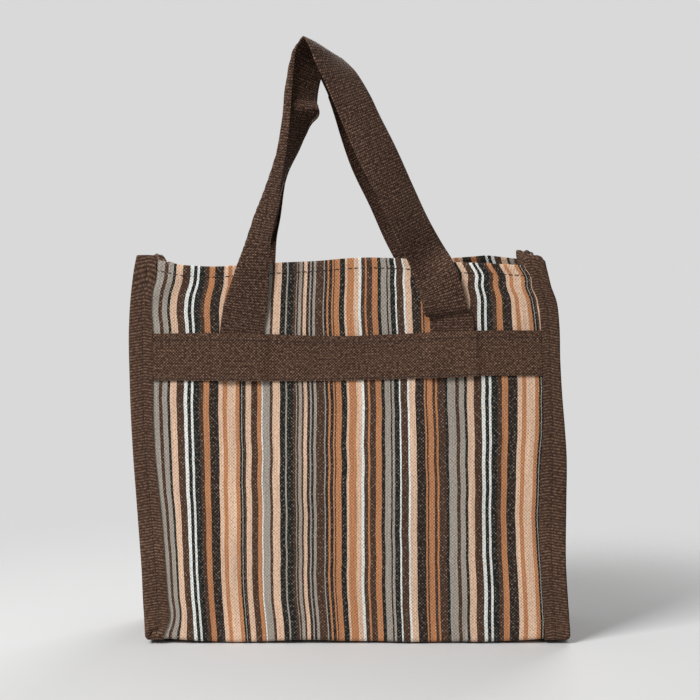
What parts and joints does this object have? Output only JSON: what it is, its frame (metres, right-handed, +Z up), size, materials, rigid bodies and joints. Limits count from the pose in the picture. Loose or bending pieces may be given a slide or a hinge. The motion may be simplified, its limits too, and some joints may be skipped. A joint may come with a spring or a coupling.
{
  "type": "striped tote bag",
  "caption": "Open-topped striped cloth shopping tote with brown canvas gussets, a webbing band across each face and two folding webbing handles.",
  "frame": {"origin": "on the floor, under the middle of the bag's base", "axes": "+Z up, +X to the right seen from the front, front face towards -Y"},
  "size_m": [0.406, 0.1318, 0.5645],
  "materials": {
    "striped_cloth": "matte twill, woven in vertical stripes of brown, tan, peach, grey, black and white",
    "brown_canvas": "matte ribbed canvas",
    "webbing": "matte woven webbing",
    "binding_tape": "matte woven tape",
    "thread": "twisted polyester sewing thread"
  },
  "bodies": {
    "bag": {"front_panel": "striped_cloth", "back_panel": "striped_cloth", "base_panel": "striped_cloth", "left_gusset": "brown_canvas", "right_gusset": "brown_canvas", "front_band": "webbing", "back_band": "webbing", "front_handle_tails": "webbing", "back_handle_tails": "webbing", "front_rim_hem": "striped_cloth", "back_rim_hem": "striped_cloth", "left_rim_hem": "brown_canvas", "right_rim_hem": "brown_canvas", "front_left_binding": "binding_tape", "front_right_binding": "binding_tape", "back_left_binding": "binding_tape", "back_right_binding": "binding_tape", "base_binding": "binding_tape", "rim_thread": "thread", "band_thread": "thread", "strip_thread": "thread"},
    "front_handle": {"front_handle": "webbing"},
    "back_handle": {"back_handle": "webbing"}
  },
  "joints": [
    {"name": "front_handle_fold", "type": "hinge", "parent": "bag", "child": "front_handle", "pos_m": [0, -0.05885, 0.2916], "axis": [1, 0, 0], "range_deg": [0, 175]},
    {"name": "back_handle_fold", "type": "hinge", "parent": "bag", "child": "back_handle", "pos_m": [0, 0.05885, 0.2916], "axis": [-1, 0, 0], "range_deg": [0, 175]}
  ]
}
